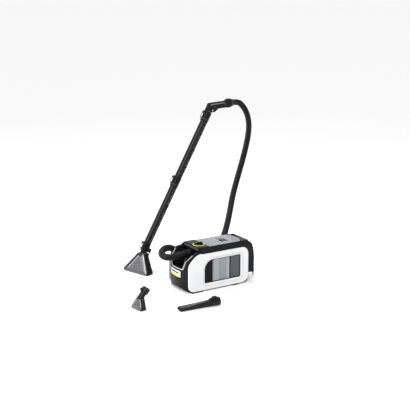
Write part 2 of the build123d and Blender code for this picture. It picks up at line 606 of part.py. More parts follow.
def handle():
    # the shells' side view, in the wand plane: up from the top collar, round the elbow, level to the end
    start = TOP_COLLAR[1] + 0.4
    half = 19.0
    rise = GRIP_HIGH - beside_axis(start, half)[1]
    elbow_h = beside_axis(start, half)[0] + rise * math.tan(math.radians(LEAN))
    corners = [beside_axis(start, half), (elbow_h, GRIP_HIGH), (HANDLE_END, GRIP_HIGH),
               (HANDLE_END, GRIP_LOW), (706, GRIP_LOW), beside_axis(start, -half)]
    profile = rounded(corners, [2, 9, 2, 2, 16, 2])
    solid = extrude(profile, amount=16, both=True)
    solid = soften(solid, outer_rim(solid, Axis.Z, True) + outer_rim(solid, Axis.Z, False), 7)
    flare = Polyline((812, 0), (812, 16), (846, 29.5), (HANDLE_END, 29.5), (HANDLE_END, 0), close=True)
    solid += Pos(0, HANDLE_Z, 0) * revolve(make_face(flare), axis=Axis.X)
    solid += rod((HANDLE_END - 2, HANDLE_Z, 0), (HANDLE_END + 12, HANDLE_Z, 0), 14)
    pin_h, pin_z = TRIGGER_PIN
    boss = rod((pin_h, pin_z, -17.5), (pin_h, pin_z, 17.5), 12.5)
    solid += soften(boss, boss.edges().filter_by(GeomType.CIRCLE), 1.5)
    slot = rounded([(662, 870), (764, 870), (764, 918), (690, 918), (662, 912)], [2, 2, 3, 12, 4])
    solid -= extrude(slot, amount=6, both=True)
    duct_r = 10.5
    turn = beside_axis((HANDLE_Z - COLLAR_AT[1]) / math.cos(math.radians(LEAN)), 0)
    solid -= rod((*turn, 0), (HANDLE_END + 20, HANDLE_Z, 0), duct_r)
    solid -= rod((*beside_axis(start - 20, 0), 0), (*turn, 0), duct_r)
    solid -= rod((*beside_axis(start - 60, 0), 0), (*beside_axis(TUBE_TOP + 0.3, 0), 0), TUBE_R + 0.05)
    solid -= Pos(*turn, 0) * Sphere(duct_r)
    solid -= rod((772, 911, 0), (806, 911, 0), 4.6)
    solid -= rod((pin_h, pin_z, -21), (pin_h, pin_z, 21), 1.75)
    room = (500, 900), (800, 1000)
    keep("handle_shell_left", in_wand(solid & block(*room, (0.02, 40))))
    keep("handle_shell_right", in_wand(solid & block(*room, (-40, -0.02))))
    pin = rod((pin_h, pin_z, -17.4), (pin_h, pin_z, 17.6), 1.7)
    for side in (-1, 1):
        pin += rod((pin_h, pin_z, side * 17.6), (pin_h, pin_z, side * 19.4), 6)
    keep("trigger_pin", in_wand(pin))
    keep("spray_valve", in_wand(rod((773, 911, 0), (805, 911, 0), 4.4)))

    arm = rounded([(674, 889), (678, 886), (716, 885), (744, 898), (760, 905.5), (758, 908.5), (700, 909)],
                  [2, 2, 14, 8, 1, 1, 6])
    lever = extrude(arm, amount=5.2, both=True) + rod((pin_h, pin_z, -5.2), (pin_h, pin_z, 5.2), 7)
    lever -= rod((pin_h, pin_z, -6), (pin_h, pin_z, 6), 1.78)
    keep("trigger", in_wand(lever))

    start = HANDLE_END + 0.4
    outline = [
        Polyline((start, 14.1), (start, 28), (start + 4, 29.2), (start + 16, 28.4), (CUFF_END - 3, 22)),
        Polyline((CUFF_END - 3, 22), (CUFF_END, 21.4), (CUFF_END, 10), (start + 13, 10), (start + 13, 14.1),
                 (start, 14.1)),
    ]
    cuff = revolve(make_face(outline), axis=Axis.X)
    keep("hose_cuff", in_wand(Pos(0, HANDLE_Z, 0) * cuff))


# ---------------------------------------------------------------- hand tools on the floor
def upholstery_tool():
    """A small hand nozzle that stands on its mouth, its cuff leaning back."""
    tool = Plane(origin=(-539.8, -160.1, 0), x_dir=(0.987, 0.162, 0), z_dir=(0.162, -0.987, 0))
    neck = (17, 60, 26, 34)
    outside, inside = funnel((2, 0, 34, 84), neck, 2.2)
    low, high = Vector(10, 52, 0), Vector(60, 102, 0)
    stub = rod(low, high, 17)
    bore = rod(low + Vector(-2, -2, 0), high + Vector(20, 20, 0), 14.6)
    body = outside + stub - inside - rod(low + Vector(-2, -2, 0), high + Vector(2, 2, 0), 14.6)
    body += pipe(high - Vector(21, 21, 0), high, 22, 14.6)
    body += block((20, 36), (94, 112), (-6, 6)) - bore
    pane = front_pane((2, 0, 34, 84), neck, 4, 2.6, 1.5, 56) - stub
    pane -= rod(low + Vector(-2, -2, 0), high + Vector(2, 2, 0), 14.6)
    body -= pane
    keep("upholstery_body", tool.location * body)
    keep("upholstery_window", tool.location * pane)


def crevice_tool():
    """A long flat nozzle lying on the floor: round cuff, flat tapering snout."""
    tool = Plane(origin=(-141, -333, 0), x_dir=(-0.989, 0.148, 0), z_dir=(0, 0, 1))
    centre = 22
    cuff = rod((0, 0, centre), (56, 0, centre), 21.9)
    cuff = soften(cuff, cuff.edges().group_by(Axis.X)[0], 2)
    snout_start = Plane((50, 0, 19), x_dir=(0, 1, 0), z_dir=(1, 0, 0)) * RectangleRounded(38, 34, 12)
    snout_mid = Plane((92, 0, 16), x_dir=(0, 1, 0), z_dir=(1, 0, 0)) * RectangleRounded(34, 28, 8)
    snout_end = Plane((232, 0, 8.5), x_dir=(0, 1, 0), z_dir=(1, 0, 0)) * RectangleRounded(48, 16, 4)
    body = cuff + loft([snout_start, snout_mid], ruled=True) + loft([snout_mid, snout_end], ruled=True)
    inner_mid = Plane((92, 0, 16), x_dir=(0, 1, 0), z_dir=(1, 0, 0)) * RectangleRounded(29, 23, 6)
    inner_end = Plane((233, 0, 8.6), x_dir=(0, 1, 0), z_dir=(1, 0, 0)) * RectangleRounded(42, 10, 3)
    body -= loft([inner_mid, inner_end], ruled=True)
    body -= rod((-1, 0, centre), (60, 0, centre), 17.2)
    body -= rod((59, 0, 18), (94, 0, 16.5), 10.5)
    lump = block((16, 44), (-8, 8), (34, 51))
    lump = soften(lump, lump.edges().group_by(Axis.Z)[-1], 4)
    body += lump - rod((-1, 0, centre), (60, 0, centre), 17.2)
    keep("crevice_tool", tool.location * body)


# ---------------------------------------------------------------- suction hose
HANDLE_EXIT = tuple(WAND.from_local_coords(Vector(CUFF_END, HANDLE_Z, 0)))
FIRST_BEND = tuple(WAND.from_local_coords(Vector(CUFF_END + 56, HANDLE_Z, 0)))
HOSE_ROUTE = [
    HANDLE_EXIT, FIRST_BEND, (700, 689, 903), (743, 693, 845), (752, 680, 775), (725, 655, 687),
    (652, 600, 574), (562, 530, 469), (468, 450, 370), (384, 360, 276), (297, 275, 192), (215, 214, 128),
    (130, 180, 88), (40, 166, 80), (-45, 163, 108), (-104, 160, 158), (-152, 157, 196), (-203, 139, 206),
    (-250, 98, 203), (-277, 48, 199), (-275, 4, 197), (-246, -18, 198), (-206, -8, 200), PORT_AT,
]


def arc_radii(route):
    """For each corner, 0.45 of the shorter run over the tangent of half the turn."""
    radii = []
    for before, corner, after in zip(route, route[1:], route[2:]):
        run_in = Vector(*corner) - Vector(*before)
        run_out = Vector(*after) - Vector(*corner)
        half_turn = math.radians(run_in.get_angle(run_out)) / 2
        radii.append(0.45 * min(run_in.length, run_out.length) / math.tan(half_turn))
    return radii


def suction_hose():
    radii = arc_radii(HOSE_ROUTE)
    path = FilletPolyline(*HOSE_ROUTE, radius=radii)
    tube = sweep(Plane(origin=path @ 0, z_dir=path % 0) * Circle(HOSE_D / 2), path=path)
    print("hose length", round(path.length), "volume ratio",
          round(tube.volume / (math.pi * HOSE_D ** 2 / 4 * path.length), 4))
    print("hose bend radii", [round(radius) for radius in radii])
    keep("hose", tube)


# ---------------------------------------------------------------- build, place, write
near = side_panel()
keep("side_panel_near", near)
keep("side_panel_far", mirror(near, Plane.XZ))
base_and_feet()
front_end()
console()
insides()
rear_end()
tank_unit()
floor_nozzle()
wand_tubes()
handle()
upholstery_tool()
crevice_tool()
suction_hose()

boxes = [solid.bounding_box() for name, solid in parts.items() if name != "hose"]
lows = [min(getattr(box.min, axis) for box in boxes) for axis in "XYZ"]
highs = [max(getattr(box.max, axis) for box in boxes) for axis in "XYZ"]
ROW_SHIFT = Vector(-(lows[0] + highs[0]) / 2, -(lows[1] + highs[1]) / 2, -lows[2])
print("row shift", ROW_SHIFT, "lows", lows, "highs", highs)
for name, solid in parts.items():
    placed = Pos(ROW_SHIFT) * solid
    placed.label = name
    export_step(placed, f"parts/{name}.step")
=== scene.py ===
import json
import math

import bmesh
import bpy
from mathutils import Matrix, Vector


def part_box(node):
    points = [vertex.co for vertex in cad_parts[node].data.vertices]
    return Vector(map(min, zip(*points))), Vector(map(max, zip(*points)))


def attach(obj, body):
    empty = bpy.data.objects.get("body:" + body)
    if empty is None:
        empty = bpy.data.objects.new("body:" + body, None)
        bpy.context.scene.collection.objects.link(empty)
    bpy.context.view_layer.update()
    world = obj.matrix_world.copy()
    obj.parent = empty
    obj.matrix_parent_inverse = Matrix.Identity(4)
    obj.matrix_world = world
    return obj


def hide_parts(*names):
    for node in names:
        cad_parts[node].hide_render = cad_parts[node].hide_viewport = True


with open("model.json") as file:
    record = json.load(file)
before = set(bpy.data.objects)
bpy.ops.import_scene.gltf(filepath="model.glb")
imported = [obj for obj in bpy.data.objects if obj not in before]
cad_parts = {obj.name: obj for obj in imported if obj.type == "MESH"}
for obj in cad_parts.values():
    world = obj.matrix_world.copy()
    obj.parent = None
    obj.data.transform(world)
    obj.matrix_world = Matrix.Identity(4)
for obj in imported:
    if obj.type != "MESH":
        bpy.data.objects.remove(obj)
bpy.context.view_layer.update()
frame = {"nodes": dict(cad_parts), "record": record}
NODES = frame["nodes"]

# ---------------------------------------------------------------- places, in metres
PAN_LOW, PAN_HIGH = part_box("base_pan")
# The machine's own origin: on the floor under its middle, 150 mm behind the pan's front edge.
ORIGIN = Vector((PAN_LOW.x + 0.150, (PAN_LOW.y + PAN_HIGH.y) / 2, 0.0))

WAND_ORIGIN = ORIGIN + Vector((-0.2572, 0.3895, 0.0))
WAND_DIR = Vector((0.95416, 0.29930, 0.0)).normalized()
MOUTH_DIR = Vector((WAND_DIR.y, -WAND_DIR.x, 0.0))
UP = Vector((0.0, 0.0, 1.0))
HANDLE_Z = 0.929
CUFF_END = 0.899
HOSE_D = 0.038
LEAN = math.radians(37.7)           # of the tube from upright
SPIN = math.radians(-53.0)          # of the latches round the tube, from its upper side


def on_machine(x, y, z):
    """A point given from the machine's own origin."""
    return ORIGIN + Vector((x, y, z))


def on_wand(along, height, side=0.0):
    """A point in the upright plane of the wand."""
    return WAND_ORIGIN + WAND_DIR * along + UP * height + MOUTH_DIR * side


def leaning(lean, origin):
    """A place whose Z leans from upright and whose X is turned from the upper side by SPIN."""
    along = WAND_DIR * math.sin(lean) + UP * math.cos(lean)
    upper = UP * math.sin(lean) - WAND_DIR * math.cos(lean)
    side = along.cross(upper)
    first = upper * math.cos(SPIN) + side * math.sin(SPIN)
    second = along.cross(first)
    return Matrix.Translation(origin) @ Matrix((first, second, along)).transposed().to_4x4()


TUBE = leaning(LEAN, on_wand(0.095, 0.173))
IN_WAND = Matrix.Translation(WAND_ORIGIN) @ Matrix((WAND_DIR, UP, MOUTH_DIR)).transposed().to_4x4()
TOOL_DIR = Vector((0.987, 0.162, 0.0)).normalized()
TOOL_SIDE = Vector((TOOL_DIR.y, -TOOL_DIR.x, 0.0))
IN_UPHOLSTERY = (Matrix.Translation(on_machine(-0.5398, -0.1601, 0.0))
                 @ Matrix((TOOL_DIR, UP, TOOL_SIDE)).transposed().to_4x4())
SNOUT_DIR = Vector((-0.989, 0.148, 0.0)).normalized()
IN_CREVICE = (Matrix.Translation(on_machine(-0.141, -0.333, 0.0))
              @ Matrix((SNOUT_DIR, UP.cross(SNOUT_DIR), UP)).transposed().to_4x4())


# ---------------------------------------------------------------- camera
CAMERA_AT = on_machine(-2.549, -4.009, 1.621)
CAMERA_LOOKS_AT = on_machine(0.0405, 0.0999, 0.4344)
camera = bpy.data.objects.new("camera", bpy.data.cameras.new("camera"))
bpy.context.scene.collection.objects.link(camera)
camera.location = CAMERA_AT
camera.rotation_mode = "QUATERNION"
camera.rotation_quaternion = (CAMERA_LOOKS_AT - CAMERA_AT).to_track_quat("-Z", "Y")
camera.data.sensor_width = 36.0
camera.data.lens = 76.47
camera.data.clip_end = 900.0
bpy.context.scene.camera = camera
bpy.context.scene.view_settings.view_transform = "Standard"


# ---------------------------------------------------------------- materials
def new_material(name):
    """An empty node material with its shader."""
    material = bpy.data.materials.new(name)
    material.use_nodes = True
    nodes = material.node_tree.nodes
    return material, nodes, material.node_tree.links, nodes["Principled BSDF"]


def noise(nodes, links, scale, detail=3.0, stretch=None):
    """Noise over object space, in cycles per metre, optionally stretched."""
    coordinates = nodes.new("ShaderNodeTexCoord")
    texture = nodes.new("ShaderNodeTexNoise")
    texture.inputs["Scale"].default_value = scale
    texture.inputs["Detail"].default_value = detail
    if stretch:
        mapping = nodes.new("ShaderNodeMapping")
        mapping.inputs["Scale"].default_value = stretch
        links.new(coordinates.outputs["Object"], mapping.inputs["Vector"])
        links.new(mapping.outputs["Vector"], texture.inputs["Vector"])
    else:
        links.new(coordinates.outputs["Object"], texture.inputs["Vector"])
    return texture


def spread(nodes, links, source, low, high, start=0.3, stop=0.7):
    """Map the stretch of a value from start to stop to the range from low to high."""
    ramp = nodes.new("ShaderNodeMapRange")
    ramp.inputs["From Min"].default_value = start
    ramp.inputs["From Max"].default_value = stop
    ramp.inputs["To Min"].default_value = low
    ramp.inputs["To Max"].default_value = high
    links.new(source, ramp.inputs["Value"])
    return ramp.outputs["Result"]


def two_tone(nodes, links, factor, first, second):
    """A colour between two, by a factor."""
    mix = nodes.new("ShaderNodeMix")
    mix.data_type = "RGBA"
    mix.inputs["A"].default_value = (*first, 1.0)
    mix.inputs["B"].default_value = (*second, 1.0)
    links.new(factor, mix.inputs["Factor"])
    return mix.outputs["Result"]


def grain(nodes, links, shader, scale, strength, distance):
    """Fine bump on a shader."""
    texture = noise(nodes, links, scale, 2.0)
    bump = nodes.new("ShaderNodeBump")
    bump.inputs["Strength"].default_value = strength
    bump.inputs["Distance"].default_value = distance
    links.new(texture.outputs["Fac"], bump.inputs["Height"])
    links.new(bump.outputs["Normal"], shader.inputs["Normal"])


def plastic(name, colour, rough, grain_scale=900.0, grain_depth=0.00008, mottle=0.12, coat=0.0, gloss=0.5):
    """Moulded plastic: slight mottling, rubbed patches of gloss and a spark-eroded grain."""
    material, nodes, links, shader = new_material(name)
    shade = noise(nodes, links, 14.0, 4.0)
    darker = tuple(channel * (1 - mottle) for channel in colour)
    lighter = tuple(min(1.0, channel * (1 + mottle)) for channel in colour)
    blend = spread(nodes, links, shade.outputs["Fac"], 0.0, 1.0)
    links.new(two_tone(nodes, links, blend, darker, lighter), shader.inputs["Base Color"])
    rubbed = noise(nodes, links, 32.0, 6.0)
    gloss_map = spread(nodes, links, rubbed.outputs["Fac"], rough * 0.8, rough * 1.2)
    links.new(gloss_map, shader.inputs["Roughness"])
    shader.inputs["Specular IOR Level"].default_value = gloss
    shader.inputs["Coat Weight"].default_value = coat
    shader.inputs["Coat Roughness"].default_value = 0.12
    grain(nodes, links, shader, grain_scale, 0.35, grain_depth)
    return material


def clear_plastic(name, colour, rough, through, mottle=0.08):
    """Smoked translucent moulding: part of the light goes through, with faint flow marks."""
    material, nodes, links, shader = new_material(name)
    flow = noise(nodes, links, 9.0, 3.0, (1.0, 1.0, 0.25))
    darker = tuple(channel * (1 - mottle) for channel in colour)
    lighter = tuple(min(1.0, channel * (1 + mottle)) for channel in colour)
    blend = spread(nodes, links, flow.outputs["Fac"], 0.0, 1.0)
    links.new(two_tone(nodes, links, blend, darker, lighter), shader.inputs["Base Color"])
    smear = noise(nodes, links, 40.0, 5.0)
    gloss_map = spread(nodes, links, smear.outputs["Fac"], rough * 0.8, rough * 1.25)
    links.new(gloss_map, shader.inputs["Roughness"])
    shader.inputs["Transmission Weight"].default_value = through
    shader.inputs["IOR"].default_value = 1.46
    grain(nodes, links, shader, 260.0, 0.15, 0.0001)
    return material


def metal(name, colour, rough):
    """Turned or cast metal with fine scratches."""
    material, nodes, links, shader = new_material(name)
    shader.inputs["Metallic"].default_value = 1.0
    scratch = noise(nodes, links, 120.0, 6.0, (1.0, 1.0, 8.0))
    darker = tuple(channel * 0.8 for channel in colour)
    blend = spread(nodes, links, scratch.outputs["Fac"], 0.0, 1.0)
    links.new(two_tone(nodes, links, blend, darker, colour), shader.inputs["Base Color"])
    gloss_map = spread(nodes, links, scratch.outputs["Fac"], rough * 0.7, rough * 1.3)
    links.new(gloss_map, shader.inputs["Roughness"])
    return material


FINISHES = {
    "white_plastic": plastic("white_plastic", (0.71, 0.715, 0.72), 0.38, 700.0, 0.00003, 0.008, 0.06),
    "black_plastic": plastic("black_plastic", (0.006, 0.006, 0.007), 0.34, 1100.0, 0.00010, 0.3, 0.0, 0.1),
    "black_gloss": plastic("black_gloss", (0.005, 0.005, 0.006), 0.13, 500.0, 0.00002, 0.3, 0.04, 0.16),
    # grey_trim is lighter than the trim's own grey: part of its lightness is a painted highlight along the
    # hose bay's trim.
    "grey_trim": plastic("grey_trim", (0.50, 0.50, 0.51), 0.28, 900.0, 0.00006, 0.06),
    "badge_white": plastic("badge_white", (0.80, 0.80, 0.81), 0.2, 500.0, 0.00002, 0.02, 0.3),
    "yellow_plastic": plastic("yellow_plastic", (0.86, 0.72, 0.01), 0.32, 800.0, 0.00005, 0.05, 0.1),
    # A grey painted as shade along the side windows' sloping edges.
    "bevel_shade_grey": plastic("bevel_shade_grey", (0.50, 0.505, 0.51), 0.3, 700.0, 0.00004, 0.03),
    "dark_trim": plastic("dark_trim", (0.045, 0.045, 0.048), 0.3, 900.0, 0.00006, 0.1, 0.0, 0.4),
    # A pale grey: the neck bands' own colour, and painted highlight lines on the handle and along the crevice
    # tool's top edges.
    "pale_grey_and_highlight": plastic("pale_grey_and_highlight", (0.22, 0.22, 0.225), 0.26, 900.0, 0.00006, 0.08),
    # A dark grey: the level ticks' print and the crevice tool's middle strip, and painted shade on the grip
    # dish's floor.
    "grey_mark_and_shade": plastic("grey_mark_and_shade", (0.11, 0.118, 0.13), 0.3, 900.0, 0.00006, 0.08),
    # The grip dish's grey, darkened as painted shade of the recess.
    "dish_wall_shaded": plastic("dish_wall_shaded", (0.27, 0.285, 0.32), 0.25, 900.0, 0.00005, 0.06),
    # Painted shade: the dark inside of the lid's grip hole.
    "hole_shade": plastic("hole_shade", (0.018, 0.026, 0.027), 0.25, 900.0, 0.00004, 0.1),
    # Pale clear plastic for painted highlights on the lid's rims.
    "lid_rim_highlight": clear_plastic("lid_rim_highlight", (0.56, 0.58, 0.63), 0.2, 0.1),
    "tank_pale": clear_plastic("tank_pale", (0.38, 0.40, 0.45), 0.18, 0.2),
    # A light grey painted as the highlight on the near-side ridge of each clear front.
    "ridge_highlight_grey": plastic("ridge_highlight_grey", (0.46, 0.46, 0.47), 0.22, 900.0, 0.00005, 0.05, 0.2),
    "pane_ridge": clear_plastic("pane_ridge", (0.42, 0.415, 0.44), 0.14, 0.15),
    "lid_grey": clear_plastic("lid_grey", (0.30, 0.32, 0.37), 0.22, 0.12),
    "tank_waste": clear_plastic("tank_waste", (0.32, 0.34, 0.39), 0.18, 0.3),
    "tank_fresh": clear_plastic("tank_fresh", (0.075, 0.088, 0.10), 0.18, 0.25),
    "window_grey": clear_plastic("window_grey", (0.125, 0.12, 0.135), 0.14, 0.3),
    "tool_pane": clear_plastic("tool_pane", (0.060, 0.060, 0.062), 0.2, 0.3),
    "soft_rubber": plastic("soft_rubber", (0.010, 0.010, 0.010), 0.7, 1400.0, 0.0002, 0.2, 0.0, 0.25),
    "tube_black": plastic("tube_black", (0.007, 0.007, 0.008), 0.24, 1100.0, 0.00006, 0.3, 0.0, 0.2),
    "hose_black": plastic("hose_black", (0.006, 0.006, 0.007), 0.34, 1200.0, 0.0001, 0.3, 0.0, 0.16),
    "steel": metal("steel", (0.55, 0.56, 0.57), 0.3),
    "brass_valve": metal("brass_valve", (0.72, 0.55, 0.25), 0.3),
    "motor_casing": metal("motor_casing", (0.6, 0.61, 0.62), 0.4),
    "circuit_green": plastic("circuit_green", (0.03, 0.16, 0.07), 0.4, 600.0, 0.00005, 0.2),
    "float_white": plastic("float_white", (0.8, 0.8, 0.78), 0.45, 900.0, 0.00005, 0.05),
}
# Nodes that look different from their slot's usual finish.
OTHER_FINISH = {
    "console_trim": "dark_trim", "lid_grip": "dish_wall_shaded", "nozzle_lip": "window_grey",
    "lower_tube": "tube_black", "upper_tube": "tube_black",
    "lower_spray_line": "tube_black", "upper_spray_line": "tube_black",
    "crevice_tool": "tube_black", "upholstery_body": "tube_black", "upholstery_window": "tool_pane",
}
FROM_RECORD = {part["node"]: part["material_slot"] for part in frame["record"]["subparts"]}
for node, thing in NODES.items():
    thing.data.materials.clear()
    thing.data.materials.append(FINISHES[OTHER_FINISH.get(node, FROM_RECORD[node])])


# ---------------------------------------------------------------- mesh helpers
def add_object(name, mesh, finish, body, *nodes):
    """Put a finished mesh in the scene, give it a finish and a body, and let it stand for CAD nodes."""
    piece = bpy.data.objects.new(name, mesh)
    bpy.context.scene.collection.objects.link(piece)
    if not mesh.materials:
        mesh.materials.append(FINISHES[finish])
    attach(piece, body)
    if nodes:
        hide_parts(*nodes)
    return piece


def mesh_from(name, build):
    """A smooth-shaded mesh filled by a function that gets a bmesh."""
    shape = bmesh.new()
    build(shape)
    bmesh.ops.recalc_face_normals(shape, faces=shape.faces)
    mesh = bpy.data.meshes.new(name)
    shape.to_mesh(mesh)
    shape.free()
    for face in mesh.polygons:
        face.use_smooth = True
    return mesh


def skin(shape, rings, closed_ends=True):
    """Join rings of points of equal count into one skin."""
    rows = [[shape.verts.new(point) for point in ring] for ring in rings]
    for low, high in zip(rows, rows[1:]):
        count = len(low)
        for i in range(count):
            j = (i + 1) % count
            shape.faces.new((low[i], low[j], high[j], high[i]))
    if closed_ends:
        shape.faces.new(list(reversed(rows[0])))
        shape.faces.new(rows[-1])


def bar(name, place, size, round_by, finish, body):
    """A small block with rounded edges round the origin of a place."""
    shape = bmesh.new()
    bmesh.ops.create_cube(shape, size=1.0, matrix=Matrix.Diagonal((*size, 1.0)))
    bmesh.ops.bevel(shape, geom=shape.edges, offset=round_by, segments=3, profile=0.5, affect="EDGES")
    bmesh.ops.transform(shape, matrix=place, verts=shape.verts)
    mesh = bpy.data.meshes.new(name)
    shape.to_mesh(mesh)
    shape.free()
    return add_object(name, mesh, finish, body)


def ridge(name, points, outward, width, height, finish, body, closed=False):
    """A low rounded ridge along a line of points on a surface with the given outward direction."""
    half = [(0.15, 1.0), (0.36, 0.84), (0.5, 0.45), (0.5, -0.3)]
    section = [(-u, v) for u, v in reversed(half)] + half

    def build(shape):
        rows = []
        count = len(points)
        for i, point in enumerate(points):
            before = points[i - 1] if closed or i else point
            after = points[(i + 1) % count] if closed or i < count - 1 else point
            beside = (after - before).normalized().cross(outward).normalized()
            places = [point + beside * (u * width) + outward * (v * height) for u, v in section]
            rows.append([shape.verts.new(place) for place in places])
        pairs = list(zip(rows, rows[1:]))
        if closed:
            pairs.append((rows[-1], rows[0]))
        for first, second in pairs:
            for k in range(len(section)):
                j = (k + 1) % len(section)
                shape.faces.new((first[k], first[j], second[j], second[k]))
        if not closed:
            shape.faces.new(rows[0])
            shape.faces.new(list(reversed(rows[-1])))

    return add_object(name, mesh_from(name, build), finish, body)


def round_point(turn, radius, height):
    """The point at an angle, a distance from the Z axis and a height."""
    return Vector((math.cos(turn) * radius, math.sin(turn) * radius, height))


def turned(name, place, profile, finish, body, sides=48):
    """A piece turned about the Z of a place from (radius, height) pairs."""
    def build(shape):
        rings = []
        for radius, height in profile:
            turns = [2 * math.pi * k / sides for k in range(sides)]
            rings.append([place @ round_point(turn, radius, height) for turn in turns])
        skin(shape, rings)

    return add_object(name, mesh_from(name, build), finish, body)


def band_round(name, place, radius, low, high, rise, finish, body):
    """A raised band round a turned surface."""
    edge = 0.35 * rise
    profile = [(radius - 0.001, low), (radius + rise - edge, low), (radius + rise, low + edge),
               (radius + rise, high - edge), (radius + rise - edge, high), (radius - 0.001, high)]
    return turned(name, place, profile, finish, body, 64)


def facing(origin, outward):
    """A place whose Z looks in the given direction."""
    return Matrix.Translation(origin) @ outward.to_track_quat("Z", "Y").to_matrix().to_4x4()


def screw_head(name, origin, outward, radius, body, finish="steel"):
    """A small pan-head screw with a cross slot."""
    place = facing(origin, outward)
    profile = [(radius, -0.001), (radius, 0.0002), (radius * 0.9, 0.0006), (radius * 0.5, 0.0009),
               (0.0002, 0.001)]
    turned(name, place, profile, finish, body, 32)
    for turn in (0.0, math.pi / 2):
        slot = place @ Matrix.Rotation(turn, 4, "Z") @ Matrix.Translation((0, 0, 0.0009))
        bar(name + ("_slot" if turn else "_cut"), slot, (radius * 1.1, radius * 0.26, 0.0005), 0.0001,
            "black_plastic", body)


def rounded_loop(corners, radii, steps=6):
    """Points round a flat outline of (u, v) corners with rounded corners."""
    out = []
    count = len(corners)
    for i, (corner, radius) in enumerate(zip(corners, radii)):
        here = Vector(corner)
        back = (Vector(corners[i - 1]) - here).normalized()
        ahead = (Vector(corners[(i + 1) % count]) - here).normalized()
        half = back.angle(ahead) / 2
        reach = radius / math.tan(half)
        middle = here + (back + ahead).normalized() * (radius / math.sin(half))
        first = here + back * reach - middle
        last = here + ahead * reach - middle
        for step in range(steps + 1):
            mix = first.lerp(last, step / steps).normalized() * radius
            out.append(middle + mix)
    return out


# ---------------------------------------------------------------- rounded edges on the CAD pieces
BODY_OF = {node: body for body, nodes in frame["record"]["behaviour"]["bodies"].items() for node in nodes}
EDGE_RADIUS = {
    "side_panel_near": 0.0012, "side_panel_far": 0.0012, "front_housing": 0.0012,
    "console_housing": 0.0014, "tank_frame": 0.0012, "rear_cover": 0.0012, "battery_door": 0.0010,
    "door_latch": 0.0007, "recess_trim": 0.0004, "console_trim": 0.0005, "tank_lid": 0.0008,
    "lid_grip": 0.0008, "badge": 0.0006, "feet": 0.0010, "bottom_collar": 0.0006,
    "middle_collar": 0.0006, "top_collar": 0.0006, "bottom_latch": 0.0005, "middle_latch": 0.0005,
    "top_latch": 0.0005, "handle_shell_left": 0.0006, "handle_shell_right": 0.0006,
    "trigger": 0.0008, "hose_cuff": 0.0008, "hose_port": 0.0010, "nozzle_body": 0.0008,
    "nozzle_window": 0.0005, "upholstery_body": 0.0008, "upholstery_window": 0.0004,
    "crevice_tool": 0.0008, "spray_coupling": 0.0006, "spray_tip": 0.0005, "nozzle_lip": 0.0006,
    "waste_tank": 0.0008, "fresh_tank": 0.0008,
}
WELD = 0.000002                     # points of a CAD mesh closer than this become one
FLAT_ANGLE = math.radians(0.4)      # faces within this angle count as one flat face
SHARP_ANGLE = math.radians(32)      # edges sharper than this are rounded


def refine(node, radius):
    """A copy of a CAD node with its sharp edges rounded, which stands for it."""
    shape = bmesh.new()
    shape.from_mesh(NODES[node].data)
    bmesh.ops.remove_doubles(shape, verts=shape.verts, dist=WELD)
    bmesh.ops.dissolve_limit(shape, angle_limit=FLAT_ANGLE, verts=shape.verts, edges=shape.edges)
    rough = bpy.data.meshes.new("rough")
    shape.to_mesh(rough)
    shape.free()
    for face in rough.polygons:
        face.use_smooth = True
    holder = bpy.data.objects.new("rough", rough)
    bpy.context.scene.collection.objects.link(holder)
    bevel = holder.modifiers.new("round", "BEVEL")
    bevel.width = radius
    bevel.segments = 2
    bevel.limit_method = "ANGLE"
    bevel.angle_limit = SHARP_ANGLE
    bevel.use_clamp_overlap = True
    even = holder.modifiers.new("even", "WEIGHTED_NORMAL")
    even.keep_sharp = True
    graph = bpy.context.evaluated_depsgraph_get()
    mesh = bpy.data.meshes.new_from_object(holder.evaluated_get(graph), depsgraph=graph)
    mesh.name = "fine_" + node
    bpy.data.objects.remove(holder)
    mesh.materials.clear()
    piece = add_object("fine_" + node, mesh, OTHER_FINISH.get(node, FROM_RECORD[node]), BODY_OF[node], node)
    return piece


# ---------------------------------------------------------------- suction hose
HOSE_ROUTE = [
    on_wand(CUFF_END, HANDLE_Z), on_wand(CUFF_END + 0.056, HANDLE_Z), on_machine(0.700, 0.689, 0.903),
    on_machine(0.743, 0.693, 0.845), on_machine(0.752, 0.680, 0.775), on_machine(0.725, 0.655, 0.687),
    on_machine(0.652, 0.600, 0.574), on_machine(0.562, 0.530, 0.469), on_machine(0.468, 0.450, 0.370),
    on_machine(0.384, 0.360, 0.276), on_machine(0.297, 0.275, 0.192), on_machine(0.215, 0.214, 0.128),
    on_machine(0.130, 0.180, 0.088), on_machine(0.040, 0.166, 0.080), on_machine(-0.045, 0.163, 0.108),
    on_machine(-0.104, 0.160, 0.158), on_machine(-0.152, 0.157, 0.196), on_machine(-0.203, 0.139, 0.206),
    on_machine(-0.250, 0.098, 0.203), on_machine(-0.277, 0.048, 0.199), on_machine(-0.275, 0.004, 0.197),
    on_machine(-0.246, -0.018, 0.198), on_machine(-0.206, -0.008, 0.200), on_machine(-0.160, -0.008, 0.200),
]


def smooth_line(name, points):
    """Points read along the smooth curve that has the given control points."""
    curve = bpy.data.curves.new(name, "CURVE")
    curve.dimensions = "3D"
    curve.resolution_u = 24
    spline = curve.splines.new("NURBS")
    spline.points.add(len(points) - 1)
    for control, point in zip(spline.points, points):
        control.co = (*point, 1.0)
    spline.order_u = 3
    spline.use_endpoint_u = True
    holder = bpy.data.objects.new(name, curve)
    bpy.context.scene.collection.objects.link(holder)
    bpy.context.view_layer.update()
    line = bpy.data.meshes.new_from_object(holder)
    found = [vertex.co.copy() for vertex in line.vertices]
    bpy.data.objects.remove(holder)
    return found


def evenly(points, step):
    """The same line with points a fixed step apart."""
    out = [points[0].copy()]
    left = step
    for start, end in zip(points, points[1:]):
        run = (end - start).length
        done = 0.0
        while run - done > left:
            done += left
            out.append(start.lerp(end, done / run))
            left = step
        left -= run - done
    out.append(points[-1].copy())
    return out


